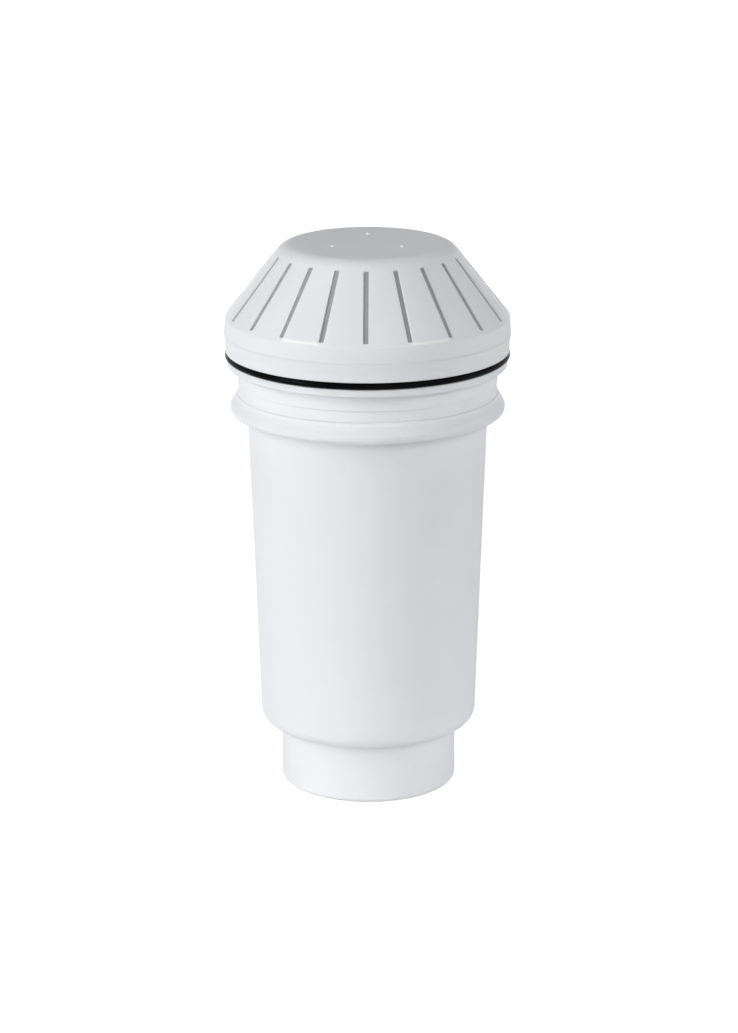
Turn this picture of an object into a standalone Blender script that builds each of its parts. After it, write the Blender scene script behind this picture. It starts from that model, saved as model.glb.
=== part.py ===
"""Water pitcher filter cartridge, modelled piece by piece as it is assembled.

The cartridge is turned about the Z axis and stands on its foot, with the origin at the centre
of the foot's underside. Water enters through the slotted cap and its mesh lining, passes the
inlet screen, runs down round the carbon block and through it, and leaves through the resin and
the foot's grille.
"""

import math

import bmesh
import bpy
from mathutils import Matrix, Vector

MM = 0.001

# How far apart two pieces that touch are kept, and the sealing ring in its groove
SEAT_GAP = 0.3 * MM
GROOVE_GAP = 0.1 * MM

# How far a cutter reaches in all past the wall that it cuts
CUT_THROUGH = 1.6 * MM

# Facets round the outer mouldings and round the pieces inside, and along a rounding
OUTER_STEPS = 60
INNER_STEPS = 40
FILLET_FACET = 1.5 * MM
MOST_FILLET_STEPS = 5
FLANGE_EDGE_STEPS = 3
FLANGE_SLOPE_STEPS = 5
SHARP_ANGLE = math.radians(35)
MERGE_DISTANCE = 0.001 * MM

# The most of a side that a rounding may take up
FILLET_SHARE = 0.9

# Housing, one moulding, from the foot up. Its other radii are set back from the flange's.
WALL = 1.7 * MM
FOOT_SETBACK = 5.0 * MM
FOOT_ROUNDING = 1.5 * MM
FOOT_RING_WIDTH = 2.6 * MM
FOOT_RECESS = 2.5 * MM
FOOT_FLOOR = 1.8 * MM
FOOT_HEIGHT = 14.7 * MM
BODY_TAPER = 2.8 * MM
BODY_LOW_RISE = 1.5 * MM
BODY_ROUNDING = 3.8 * MM
SHOULDER_THICKNESS = 2.9 * MM
BODY_INNER_ROUNDING = 1.0 * MM
BODY_LENGTH = 80.4 * MM
FLANGE_RADIUS = 33.78 * MM
FLANGE_OVERHANG = 4.28 * MM
FLANGE_EDGE_WIDTH = 1.0 * MM
FLANGE_EDGE_RISE = 1.6 * MM
FLANGE_SLOPE_HEIGHT = 3.35 * MM
FLANGE_SLOPE_POWER = 1.2
NECK_SETBACK = 2.11 * MM
NECK_STEP = 0.1 * MM
NECK_LOW_LENGTH = 2.75 * MM
NECK_HIGH_LENGTH = 4.0 * MM
LIP_SETBACK = 0.6 * MM
LIP_THICKNESS = 1.95 * MM
LIP_ROUNDING = 0.5 * MM
RIM_HEIGHT = 4.45 * MM
RIM_BEAD = 0.28 * MM
RIM_BEAD_HEIGHT = 0.9 * MM
LEDGE_ABOVE_LIP = 1.2 * MM

# Outlet grille in the foot's floor
GRILLE_COUNT = 12
GRILLE_SLOT_WIDTH = 1.8 * MM
GRILLE_HUB_RADIUS = 5.0 * MM
GRILLE_MARGIN = 1.6 * MM

# Sealing ring
RING_CORD = 1.6 * MM
RING_PAST_FLANGE = 1.22 * MM
RING_STANDOUT = 0.1 * MM
RING_SIDES = 10

# Slotted cap
CAP_WALL = 1.6 * MM
CAP_OVERHANG = 0.03 * MM
CAP_BAND_HEIGHT = 3.75 * MM
CAP_BAND_ROUNDING = 0.6 * MM
CAP_CONE_HEIGHT = 18.1 * MM
CAP_CONE_SETBACK = 14.18 * MM
CAP_DISC_ROUNDING = 6.0 * MM
CAP_WEB = 1.6 * MM
SLOT_COUNT = 20
SLOT_WIDTH = 1.2 * MM
SLOT_LOW_MARGIN = 1.2 * MM
SLOT_HIGH_MARGIN = 0.5 * MM
PAD_HEIGHT = 0.3 * MM
PAD_BELOW_SLOT = 0.5 * MM
PAD_BELOW_SLOT_TOP = 0.3 * MM
PAD_PLACES = (1, 8, 11, 18)
GATE_COUNT = 3
GATE_CIRCLE_RADIUS = 9.8 * MM
GATE_RADIUS = 0.65 * MM
GATE_TIP_RADIUS = 0.25 * MM
GATE_HEIGHT = 0.25 * MM
GATE_SIDES = 8

# Mesh lining under the cap's slots, and how far it reaches past their ends
LINING_THICKNESS = 0.5 * MM
LINING_LAP = 0.5 * MM

# Inlet screen and its frame
FRAME_THICKNESS = 2.0 * MM
FRAME_RING_WIDTH = 3.2 * MM
FRAME_SPOKES = 6
FRAME_SPOKE_WIDTH = 2.0 * MM
FRAME_HUB_RADIUS = 4.0 * MM
INLET_MESH = 0.5 * MM

# Carbon block and what holds it
BLOCK_SETBACK = 5.7 * MM
BLOCK_BORE_RADIUS = 8.0 * MM
WRAP_THICKNESS = 1.1 * MM
END_CAP_PLATE = 2.0 * MM
END_CAP_WALL = 1.3 * MM
END_CAP_GRIP = 5.0 * MM
PLUG_LENGTH = 4.0 * MM
OUTLET_TUBE_WALL = 1.5 * MM
OUTLET_TUBE_LENGTH = 6.0 * MM
GASKET_THICKNESS = 1.5 * MM
GASKET_WIDTH = 3.0 * MM
GASKET_INSET = 0.5 * MM
FOAM_OUTER_RADIUS = 18.0 * MM
FOAM_INNER_RADIUS = 10.0 * MM
FOAM_HEIGHT = 9.0 * MM

# Resin, felts and outlet screen, in the foot
OUTLET_MESH = 0.6 * MM
FELT_THICKNESS = 2.0 * MM

# Housing radii, bores and levels that follow from the values above
BODY_TOP_RADIUS = FLANGE_RADIUS - FLANGE_OVERHANG
BODY_LOW_RADIUS = BODY_TOP_RADIUS - BODY_TAPER
FOOT_RADIUS = BODY_LOW_RADIUS - FOOT_SETBACK
NECK_RADIUS = FLANGE_RADIUS - NECK_SETBACK
RING_OUTER_RADIUS = FLANGE_RADIUS + RING_PAST_FLANGE
FLOOR_TOP = FOOT_RECESS + FOOT_FLOOR
FOOT_BORE = FOOT_RADIUS - WALL
FOOT_RECESS_RADIUS = FOOT_RADIUS - FOOT_RING_WIDTH
SHOULDER_TOP = FOOT_HEIGHT + SHOULDER_THICKNESS
BODY_LOW_LEVEL = FOOT_HEIGHT + BODY_LOW_RISE
FLANGE_UNDERSIDE = FOOT_HEIGHT + BODY_LENGTH
FLANGE_EDGE = FLANGE_UNDERSIDE + FLANGE_EDGE_RISE
NECK_BOTTOM = FLANGE_EDGE + FLANGE_SLOPE_HEIGHT
NECK_STEP_LEVEL = NECK_BOTTOM + NECK_LOW_LENGTH
LIP_BOTTOM = NECK_STEP_LEVEL + NECK_HIGH_LENGTH
GROOVE_BOTTOM = LIP_BOTTOM + LIP_THICKNESS
GROOVE_TOP = GROOVE_BOTTOM + RING_CORD + 2 * GROOVE_GAP
GROOVE_FLOOR_RADIUS = RING_OUTER_RADIUS - RING_CORD - SEAT_GAP
RIM_RADIUS = RING_OUTER_RADIUS - RING_STANDOUT
LIP_RADIUS = RIM_RADIUS - LIP_SETBACK
RIM_TOP = GROOVE_TOP + RIM_HEIGHT
RIM_BORE = GROOVE_FLOOR_RADIUS - WALL
NECK_BORE = NECK_RADIUS - WALL
LEDGE = LIP_BOTTOM + LEDGE_ABOVE_LIP

# Cap and screen levels, seated on the housing's rim and ledge
CAP_BOTTOM = RIM_TOP + SEAT_GAP
CAP_BAND_TOP = CAP_BOTTOM + CAP_BAND_HEIGHT
CAP_TOP = CAP_BAND_TOP + CAP_CONE_HEIGHT
CAP_BAND_RADIUS = RIM_RADIUS + CAP_OVERHANG
CAP_DISC_RADIUS = CAP_BAND_RADIUS - CAP_CONE_SETBACK
CAP_SLOPE = math.atan2(CAP_CONE_HEIGHT, CAP_CONE_SETBACK)
CAP_CONE_LENGTH = math.hypot(CAP_CONE_HEIGHT, CAP_CONE_SETBACK)
SLOT_TOP = CAP_CONE_LENGTH - CAP_DISC_ROUNDING * math.tan(CAP_SLOPE / 2) - SLOT_HIGH_MARGIN
SLOT_PITCH = 2 * math.pi / SLOT_COUNT
PAD_START = SLOT_LOW_MARGIN - PAD_BELOW_SLOT
PAD_END = SLOT_TOP - PAD_BELOW_SLOT_TOP
SPIGOT_RADIUS = RIM_BORE - SEAT_GAP
SPIGOT_BORE = SPIGOT_RADIUS - CAP_WALL
FRAME_BOTTOM = LEDGE + SEAT_GAP
FRAME_TOP = FRAME_BOTTOM + FRAME_THICKNESS
SPIGOT_END = FRAME_TOP + SEAT_GAP

# Block levels, stacked up from the shoulder and down from the screen frame
GASKET_BOTTOM = SHOULDER_TOP + SEAT_GAP
LOWER_CAP_BOTTOM = GASKET_BOTTOM + GASKET_THICKNESS + SEAT_GAP
LOWER_CAP_FLOOR = LOWER_CAP_BOTTOM + END_CAP_PLATE
BLOCK_BOTTOM = LOWER_CAP_FLOOR + SEAT_GAP
FOAM_TOP = FRAME_BOTTOM - SEAT_GAP
FOAM_BOTTOM = FOAM_TOP - FOAM_HEIGHT
UPPER_CAP_TOP = FOAM_BOTTOM - SEAT_GAP
UPPER_CAP_CEILING = UPPER_CAP_TOP - END_CAP_PLATE
BLOCK_TOP = UPPER_CAP_CEILING - SEAT_GAP
BLOCK_RADIUS = BODY_LOW_RADIUS - BLOCK_SETBACK
WRAP_BORE = BLOCK_RADIUS + SEAT_GAP
WRAP_RADIUS = WRAP_BORE + WRAP_THICKNESS
END_CAP_BORE = WRAP_RADIUS + SEAT_GAP
END_CAP_RADIUS = END_CAP_BORE + END_CAP_WALL
PLUG_RADIUS = BLOCK_BORE_RADIUS - SEAT_GAP


def clear_scene():
    for obj in list(bpy.data.objects):
        bpy.data.objects.remove(obj, do_unlink=True)


def finish(name, colour, roughness):
    """A Principled material of one colour, with no metal in it."""
    material = bpy.data.materials.new(name)
    material.use_nodes = True
    shader = material.node_tree.nodes["Principled BSDF"]
    shader.inputs["Base Color"].default_value = (*colour, 1.0)
    shader.inputs["Roughness"].default_value = roughness
    shader.inputs["Metallic"].default_value = 0.0
    return material


def toward(start, end):
    """The unit direction from one outline point to another, and the distance."""
    run, rise = end[0] - start[0], end[1] - start[1]
    length = math.hypot(run, rise)
    return run / length, rise / length, length


def corner_arc(before, corner, after):
    """The arc that rounds one corner of an outline, tangent to both of its sides."""
    radius, height, rounding = corner
    in_r, in_z, in_length = toward(corner, before)
    out_r, out_z, out_length = toward(corner, after)
    half_angle = math.acos(in_r * out_r + in_z * out_z) / 2
    longest = FILLET_SHARE * min(in_length, out_length)
    tangent = min(rounding / math.tan(half_angle), longest)
    arc_radius = tangent * math.tan(half_angle)
    middle = math.hypot(in_r + out_r, in_z + out_z)
    to_centre = arc_radius / math.sin(half_angle)
    centre_r = radius + (in_r + out_r) / middle * to_centre
    centre_z = height + (in_z + out_z) / middle * to_centre
    first = math.atan2(height + in_z * tangent - centre_z, radius + in_r * tangent - centre_r)
    last = math.atan2(height + out_z * tangent - centre_z, radius + out_r * tangent - centre_r)
    turn = (last - first + math.pi) % (2 * math.pi) - math.pi
    steps = min(MOST_FILLET_STEPS, 2 + int(rounding / FILLET_FACET))
    angles = [first + turn * step / steps for step in range(steps + 1)]
    return [
        (centre_r + arc_radius * math.cos(angle), centre_z + arc_radius * math.sin(angle))
        for angle in angles
    ]


def rounded(corners):
    """The outline through corners (radius, height, rounding). The first and last stay sharp."""
    outline = [corners[0][:2]]
    for before, corner, after in zip(corners, corners[1:], corners[2:]):
        outline += corner_arc(before, corner, after) if corner[2] else [corner[:2]]
    return outline + [corners[-1][:2]]


def ellipse_arc(centre, radii, first_degrees, last_degrees, steps):
    """Points on an ellipse about centre, from one angle to another."""
    span = last_degrees - first_degrees
    angles = [math.radians(first_degrees + span * step / steps) for step in range(steps + 1)]
    return [
        (centre[0] + radii[0] * math.cos(angle), centre[1] + radii[1] * math.sin(angle))
        for angle in angles
    ]


def add_object(name, shape, material=None):
    """Turns a bmesh into an object, and frees it."""
    mesh = bpy.data.meshes.new(name)
    shape.to_mesh(mesh)
    shape.free()
    if material:
        mesh.materials.append(material)
    obj = bpy.data.objects.new(name, mesh)
    bpy.context.scene.collection.objects.link(obj)
    return obj


def smooth(obj):
    """Smooth shading that keeps the edges which turn sharply."""
    obj.data.shade_smooth()
    obj.data.set_sharp_from_angle(angle=SHARP_ANGLE)


def turned(name, outline, material, steps=INNER_STEPS):
    """The closed outline of (radius, height) points, spun once round the Z axis."""
    shape = bmesh.new()
    points = [shape.verts.new((0.0, -radius, height)) for radius, height in outline]
    edges = [shape.edges.new(pair) for pair in zip(points, points[1:] + points[:1])]
    bmesh.ops.spin(
        shape, geom=points + edges, cent=(0, 0, 0), axis=(0, 0, 1), angle=2 * math.pi, steps=steps
    )
    bmesh.ops.remove_doubles(shape, verts=shape.verts, dist=MERGE_DISTANCE)
    on_axis = [edge for edge in shape.edges if not edge.link_faces]
    bmesh.ops.delete(shape, geom=on_axis, context="EDGES")
    bmesh.ops.recalc_face_normals(shape, faces=shape.faces)
    obj = add_object(name, shape, material)
    smooth(obj)
    return obj


def ring(name, inner, outer, bottom, top, material):
    """A plain flat ring, or a disc where inner is 0."""
    section = [(inner, bottom), (outer, bottom), (outer, top), (inner, top)]
    return turned(name, section, material)


def around(count):
    """A turn about the Z axis to each of count equal places, the first at the front."""
    return [Matrix.Rotation(2 * math.pi * place / count, 4, "Z") for place in range(count)]


def as_cutter(obj):
    obj.hide_render = True
    obj.display_type = "WIRE"
    return obj


def box_cutter(name, size, places):
    """One box of the given size at each place."""
    shape = bmesh.new()
    for place in places:
        bmesh.ops.create_cube(shape, size=1.0, matrix=place @ Matrix.Diagonal((*size, 1.0)))
    return as_cutter(add_object(name, shape))


def window_cutter(name, inner, outer, bar, count, bottom, top, steps=4):
    """The windows left between bars of equal width that run out from a hub to a ring."""
    shape = bmesh.new()
    half_pitch = math.pi / count
    for turn in around(count):
        corners = []
        for radius, direction in ((outer, 1), (inner, -1)):
            reach = half_pitch - math.asin(bar / 2 / radius)
            for step in range(steps + 1):
                angle = direction * reach * (2 * step / steps - 1)
                corner = Vector((radius * math.sin(angle), -radius * math.cos(angle), bottom))
                corners.append(shape.verts.new(turn @ corner))
        face = shape.faces.new(corners)
        raised = bmesh.ops.extrude_face_region(shape, geom=[face])["geom"]
        lifted = [item for item in raised if isinstance(item, bmesh.types.BMVert)]
        bmesh.ops.translate(shape, verts=lifted, vec=(0, 0, top - bottom))
    bmesh.ops.recalc_face_normals(shape, faces=shape.faces)
    return as_cutter(add_object(name, shape))


def combine(target, other, operation):
    modifier = target.modifiers.new(other.name, "BOOLEAN")
    modifier.operation = operation
    modifier.solver = "EXACT"
    modifier.object = other


def housing_outline():
    """Up the outside from the foot's ring to the rim, then down the inside to the foot's floor.

    The flange's upper slope follows a curve that bulges a little: x^p + y^p = 1 between its ends.
    """
    foot_and_body = rounded([
        (FOOT_RECESS_RADIUS, 0, 0),
        (FOOT_RADIUS, 0, FOOT_ROUNDING),
        (FOOT_RADIUS, FOOT_HEIGHT, 0),
        (BODY_LOW_RADIUS, BODY_LOW_LEVEL, BODY_ROUNDING),
        (BODY_TOP_RADIUS, FLANGE_UNDERSIDE, 0),
    ])
    edge_centre = (FLANGE_RADIUS - FLANGE_EDGE_WIDTH, FLANGE_EDGE)
    edge = (FLANGE_EDGE_WIDTH, FLANGE_EDGE_RISE)
    flange_edge = ellipse_arc(edge_centre, edge, -90, 0, FLANGE_EDGE_STEPS)
    flange_slope = []
    for step in range(1, FLANGE_SLOPE_STEPS + 1):
        up = step / FLANGE_SLOPE_STEPS
        out = (1 - up ** FLANGE_SLOPE_POWER) ** (1 / FLANGE_SLOPE_POWER)
        flange_slope.append((NECK_RADIUS + NECK_SETBACK * out, FLANGE_EDGE + FLANGE_SLOPE_HEIGHT * up))
    neck_and_lip = rounded([
        (NECK_RADIUS, NECK_STEP_LEVEL - NECK_STEP, 0),
        (NECK_RADIUS + NECK_STEP, NECK_STEP_LEVEL, 0),
        (NECK_RADIUS + NECK_STEP, LIP_BOTTOM, 0),
        (LIP_RADIUS, LIP_BOTTOM, LIP_ROUNDING),
        (LIP_RADIUS, GROOVE_BOTTOM, 0),
        (GROOVE_FLOOR_RADIUS, GROOVE_BOTTOM, 0),
    ])
    bead_bottom = RIM_TOP - RIM_BEAD_HEIGHT
    bead_radius = RIM_RADIUS + RIM_BEAD
    rim = [
        (GROOVE_FLOOR_RADIUS, GROOVE_TOP),
        (RIM_RADIUS, GROOVE_TOP),
        (RIM_RADIUS, bead_bottom),
        (bead_radius, bead_bottom + RIM_BEAD),
        (bead_radius, RIM_TOP - RIM_BEAD),
        (RIM_RADIUS, RIM_TOP),
        (RIM_BORE, RIM_TOP),
    ]
    inside = rounded([
        (RIM_BORE, LEDGE, 0),
        (NECK_BORE, LEDGE, 0),
        (NECK_BORE, FLANGE_EDGE + WALL, 0),
        (BODY_TOP_RADIUS - WALL, FLANGE_UNDERSIDE - WALL, 0),
        (BODY_LOW_RADIUS - WALL, SHOULDER_TOP, BODY_INNER_ROUNDING),
        (FOOT_BORE, SHOULDER_TOP, 0),
        (FOOT_BORE, FLOOR_TOP, 0),
        (0, FLOOR_TOP, 0),
        (0, FOOT_RECESS, 0),
        (FOOT_RECESS_RADIUS, FOOT_RECESS, 0),
    ])
    return foot_and_body + flange_edge + flange_slope + neck_and_lip + rim + inside


def make_housing(white):
    housing = turned("housing", housing_outline(), white, OUTER_STEPS)
    slot_end = FOOT_RECESS_RADIUS - GRILLE_MARGIN
    slot_size = (GRILLE_SLOT_WIDTH, slot_end - GRILLE_HUB_RADIUS, FOOT_FLOOR + CUT_THROUGH)
    slot_middle = (0, -(slot_end + GRILLE_HUB_RADIUS) / 2, FOOT_RECESS + FOOT_FLOOR / 2)
    slots = [turn @ Matrix.Translation(slot_middle) for turn in around(GRILLE_COUNT)]
    combine(housing, box_cutter("grille_cutter", slot_size, slots), "DIFFERENCE")


def make_ring(rubber):
    cord = RING_CORD / 2
    centre = (RING_OUTER_RADIUS - cord, GROOVE_BOTTOM + GROOVE_GAP + cord)
    section = ellipse_arc(centre, (cord, cord), 0, 360, RING_SIDES)[:-1]
    turned("o_ring", section, rubber, OUTER_STEPS)


def on_cone(along, out):
    """Radius and height at a distance up the cone from the band, and out from its face."""
    radius = CAP_BAND_RADIUS - along * math.cos(CAP_SLOPE) + out * math.sin(CAP_SLOPE)
    height = CAP_BAND_TOP + along * math.sin(CAP_SLOPE) + out * math.cos(CAP_SLOPE)
    return radius, height


def cap_outline():
    """Up the outside from the spigot to the middle of the top, then down the inside one wall in."""
    inner_disc = CAP_DISC_RADIUS - CAP_WALL * math.tan(CAP_SLOPE / 2)
    inner_band = CAP_BAND_RADIUS - CAP_WALL
    inner_band_top = CAP_BAND_TOP - CAP_WALL * math.tan((math.pi / 2 - CAP_SLOPE) / 2)
    return rounded([
        (SPIGOT_RADIUS, SPIGOT_END, 0),
        (SPIGOT_RADIUS, CAP_BOTTOM, 0),
        (CAP_BAND_RADIUS, CAP_BOTTOM, 0),
        (CAP_BAND_RADIUS, CAP_BAND_TOP, CAP_BAND_ROUNDING),
        (*on_cone(PAD_START, 0), 0),
        (*on_cone(PAD_END, 0), 0),
        (CAP_DISC_RADIUS, CAP_TOP, CAP_DISC_ROUNDING),
        (0, CAP_TOP, 0),
        (0, CAP_TOP - CAP_WALL, 0),
        (inner_disc, CAP_TOP - CAP_WALL, CAP_DISC_ROUNDING - CAP_WALL),
        (inner_band, inner_band_top, 0),
        (inner_band, CAP_BOTTOM + CAP_WEB, 0),
        (SPIGOT_BORE, CAP_BOTTOM + CAP_WEB, 0),
        (SPIGOT_BORE, SPIGOT_END, 0),
    ])


def lift_pads(cap):
    """Lifts four panels between slots at their lower edge. Their upper edge stays in the cone."""
    shape = bmesh.new()
    shape.from_mesh(cap.data)
    low_level = on_cone(PAD_START, 0)[1]
    high_level = on_cone(PAD_END, 0)[1]
    outward = Vector((0, -math.sin(CAP_SLOPE), math.cos(CAP_SLOPE)))
    for place in PAD_PLACES:
        panel = []
        for face in shape.faces:
            centre = face.calc_center_median()
            cone_radius = CAP_BAND_RADIUS - (centre.z - CAP_BAND_TOP) / math.tan(CAP_SLOPE)
            outside = math.hypot(centre.x, centre.y) > cone_radius - CAP_WALL / 2
            turn = math.atan2(centre.x, -centre.y) % (2 * math.pi)
            if outside and low_level < centre.z < high_level and int(turn / SLOT_PITCH) == place:
                panel.append(face)
        raised = bmesh.ops.extrude_face_region(shape, geom=panel)["geom"]
        for item in raised:
            if isinstance(item, bmesh.types.BMVert) and item.co.z < (low_level + high_level) / 2:
                turn = math.atan2(item.co.x, -item.co.y)
                item.co += Matrix.Rotation(turn, 3, "Z") @ outward * PAD_HEIGHT
        bmesh.ops.delete(shape, geom=panel, context="FACES")
    bmesh.ops.remove_doubles(shape, verts=shape.verts, dist=MERGE_DISTANCE)
    bmesh.ops.recalc_face_normals(shape, faces=shape.faces)
    shape.to_mesh(cap.data)
    shape.free()
    smooth(cap)


def slot_cutter():
    """One box for each slot, lying along the cone and passing right through its wall."""
    length = SLOT_TOP - SLOT_LOW_MARGIN
    middle_radius, middle_height = on_cone(SLOT_LOW_MARGIN + length / 2, 0)
    lean = Matrix.Rotation(CAP_SLOPE, 4, "X")
    middle = Matrix.Translation((0, -middle_radius, middle_height)) @ lean
    places = [turn @ middle for turn in around(SLOT_COUNT)]
    return box_cutter("slot_cutter", (SLOT_WIDTH, length, 2 * CAP_WALL + CUT_THROUGH), places)


def gate_marks():
    """The three small pips that moulding leaves on the top, sunk into it by their own height."""
    shape = bmesh.new()
    half_side = Matrix.Rotation(math.pi / GATE_SIDES, 4, "Z")
    for turn in around(GATE_COUNT):
        bmesh.ops.create_cone(
            shape,
            cap_ends=True,
            segments=GATE_SIDES,
            depth=2 * GATE_HEIGHT,
            radius1=GATE_RADIUS,
            radius2=GATE_TIP_RADIUS,
            matrix=turn @ Matrix.Translation((0, GATE_CIRCLE_RADIUS, CAP_TOP)) @ half_side,
        )
    return as_cutter(add_object("gate_marks", shape))


def make_cap(white):
    cap = turned("cap", cap_outline(), white, OUTER_STEPS)
    lift_pads(cap)
    combine(cap, slot_cutter(), "DIFFERENCE")
    combine(cap, gate_marks(), "UNION")


def make_lining(mesh_cloth):
    """A cone of mesh close under the slots, from the cap's band to where its top rounds over."""
    low, high = SLOT_LOW_MARGIN - LINING_LAP, SLOT_TOP + LINING_LAP
    outer = -(CAP_WALL + SEAT_GAP)
    inner = outer - LINING_THICKNESS
    section = [on_cone(low, outer), on_cone(high, outer), on_cone(high, inner), on_cone(low, inner)]
    turned("cap_lining", section, mesh_cloth, OUTER_STEPS)


def make_inlet(white, mesh_cloth):
    frame_radius = RIM_BORE - SEAT_GAP
    frame = ring("screen_frame", 0, frame_radius, FRAME_BOTTOM, FRAME_TOP, white)
    windows = window_cutter(
        "frame_cutter",
        FRAME_HUB_RADIUS,
        frame_radius - FRAME_RING_WIDTH,
        FRAME_SPOKE_WIDTH,
        FRAME_SPOKES,
        FRAME_BOTTOM - CUT_THROUGH,
        FRAME_TOP + CUT_THROUGH,
    )
    combine(frame, windows, "DIFFERENCE")
    screen_bottom = FRAME_TOP + SEAT_GAP
    screen_top = screen_bottom + INLET_MESH
    ring("inlet_screen", 0, SPIGOT_BORE - SEAT_GAP, screen_bottom, screen_top, mesh_cloth)


def make_block(white, carbon, nonwoven, foam, rubber):
    ring("carbon_block", BLOCK_BORE_RADIUS, BLOCK_RADIUS, BLOCK_BOTTOM, BLOCK_TOP, carbon)
    ring("block_wrap", WRAP_BORE, WRAP_RADIUS, BLOCK_BOTTOM, BLOCK_TOP, nonwoven)
    ring("foam_pad", FOAM_INNER_RADIUS, FOAM_OUTER_RADIUS, FOAM_BOTTOM, FOAM_TOP, foam)
    turned("top_end_cap", [
        (0, BLOCK_TOP - PLUG_LENGTH),
        (PLUG_RADIUS, BLOCK_TOP - PLUG_LENGTH),
        (PLUG_RADIUS, UPPER_CAP_CEILING),
        (END_CAP_BORE, UPPER_CAP_CEILING),
        (END_CAP_BORE, BLOCK_TOP - END_CAP_GRIP),
        (END_CAP_RADIUS, BLOCK_TOP - END_CAP_GRIP),
        (END_CAP_RADIUS, UPPER_CAP_TOP),
        (0, UPPER_CAP_TOP),
    ], white)
    outlet = PLUG_RADIUS - OUTLET_TUBE_WALL
    turned("bottom_end_cap", [
        (outlet, LOWER_CAP_BOTTOM),
        (END_CAP_RADIUS, LOWER_CAP_BOTTOM),
        (END_CAP_RADIUS, BLOCK_BOTTOM + END_CAP_GRIP),
        (END_CAP_BORE, BLOCK_BOTTOM + END_CAP_GRIP),
        (END_CAP_BORE, LOWER_CAP_FLOOR),
        (PLUG_RADIUS, LOWER_CAP_FLOOR),
        (PLUG_RADIUS, BLOCK_BOTTOM + OUTLET_TUBE_LENGTH),
        (outlet, BLOCK_BOTTOM + OUTLET_TUBE_LENGTH),
    ], white)
    gasket_inner = FOOT_BORE + GASKET_INSET
    gasket_outer = gasket_inner + GASKET_WIDTH
    gasket_top = GASKET_BOTTOM + GASKET_THICKNESS
    ring("seat_gasket", gasket_inner, gasket_outer, GASKET_BOTTOM, gasket_top, rubber)


def make_foot_bed(nonwoven, resin, mesh_cloth):
    """The outlet screen on the foot's floor, then felt, resin and felt up to the bottom end cap."""
    bed_radius = FOOT_BORE - SEAT_GAP
    mesh_bottom = FLOOR_TOP + SEAT_GAP
    mesh_top = mesh_bottom + OUTLET_MESH
    felt_bottom = mesh_top + SEAT_GAP
    felt_top = felt_bottom + FELT_THICKNESS
    upper_felt_top = LOWER_CAP_BOTTOM - SEAT_GAP
    upper_felt_bottom = upper_felt_top - FELT_THICKNESS
    ring("outlet_screen", 0, bed_radius, mesh_bottom, mesh_top, mesh_cloth)
    ring("lower_felt", 0, bed_radius, felt_bottom, felt_top, nonwoven)
    ring("resin_bed", 0, bed_radius, felt_top + SEAT_GAP, upper_felt_bottom - SEAT_GAP, resin)
    ring("upper_felt", 0, bed_radius, upper_felt_bottom, upper_felt_top, nonwoven)


def main():
    clear_scene()
    white = finish("white_plastic", (0.84, 0.845, 0.87), 0.38)
    rubber = finish("black_rubber", (0.012, 0.012, 0.013), 0.5)
    carbon = finish("pressed_carbon", (0.02, 0.02, 0.022), 0.9)
    nonwoven = finish("nonwoven_felt", (0.8, 0.8, 0.78), 0.95)
    foam = finish("open_foam", (0.75, 0.75, 0.72), 0.95)
    resin = finish("softening_resin", (0.62, 0.38, 0.16), 0.6)
    mesh_cloth = finish("screen_cloth", (0.78, 0.79, 0.8), 0.7)
    make_housing(white)
    make_ring(rubber)
    make_cap(white)
    make_lining(mesh_cloth)
    make_inlet(white, mesh_cloth)
    make_block(white, carbon, nonwoven, foam, rubber)
    make_foot_bed(nonwoven, resin, mesh_cloth)


main()
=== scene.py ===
"""The finished look of a water pitcher filter cartridge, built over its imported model.

The housing, the cap, its mesh lining and the sealing ring are made again here as fine surfaces. The
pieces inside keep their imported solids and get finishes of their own.
"""

import math

import bpy
import numpy as np
from mathutils import Matrix, Vector


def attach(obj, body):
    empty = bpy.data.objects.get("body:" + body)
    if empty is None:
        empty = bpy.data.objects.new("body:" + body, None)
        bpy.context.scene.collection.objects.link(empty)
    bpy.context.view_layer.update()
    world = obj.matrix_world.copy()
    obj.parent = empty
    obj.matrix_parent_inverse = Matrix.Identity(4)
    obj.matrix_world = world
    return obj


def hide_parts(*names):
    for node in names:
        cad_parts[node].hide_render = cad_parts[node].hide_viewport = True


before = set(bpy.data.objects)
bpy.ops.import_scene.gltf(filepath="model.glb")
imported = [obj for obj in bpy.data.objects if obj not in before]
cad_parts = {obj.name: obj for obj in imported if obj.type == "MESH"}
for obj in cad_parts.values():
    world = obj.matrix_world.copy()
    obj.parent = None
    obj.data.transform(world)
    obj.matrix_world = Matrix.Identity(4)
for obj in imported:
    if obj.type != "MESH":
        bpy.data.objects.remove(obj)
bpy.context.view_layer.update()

MM = 0.001

# The housing's body and foot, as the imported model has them
WALL = 1.7 * MM
SEAT_GAP = 0.3 * MM
FINE_ROUNDING = 0.15 * MM
FOOT_RADIUS = 21.7 * MM
FOOT_RECESS_RADIUS = 19.1 * MM
FOOT_ROUNDING = 1.5 * MM
FOOT_RECESS = 2.5 * MM
FOOT_FLOOR = 1.8 * MM
FOOT_HEIGHT = 14.7 * MM
FLOOR_TOP = FOOT_RECESS + FOOT_FLOOR
SHOULDER_TOP = 17.6 * MM
SHOULDER_ROUNDING = 3.8 * MM
BODY_LOW_RADIUS = 26.7 * MM
BODY_LOW_LEVEL = 16.2 * MM
BODY_TOP_RADIUS = 29.5 * MM
EVEN_COLUMNS_FROM = FOOT_HEIGHT + 8 * MM

# The flange
FLANGE_UNDERSIDE = 95.1 * MM
FLANGE_RADIUS = 33.78 * MM
FLANGE_EDGE = 96.7 * MM
FLANGE_EDGE_WIDTH = 1.0 * MM
FLANGE_CREASE_RADIUS = 33.27 * MM
FLANGE_CREASE_LEVEL = 97.85 * MM
FLANGE_SHOULDER = 0.3 * MM

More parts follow.
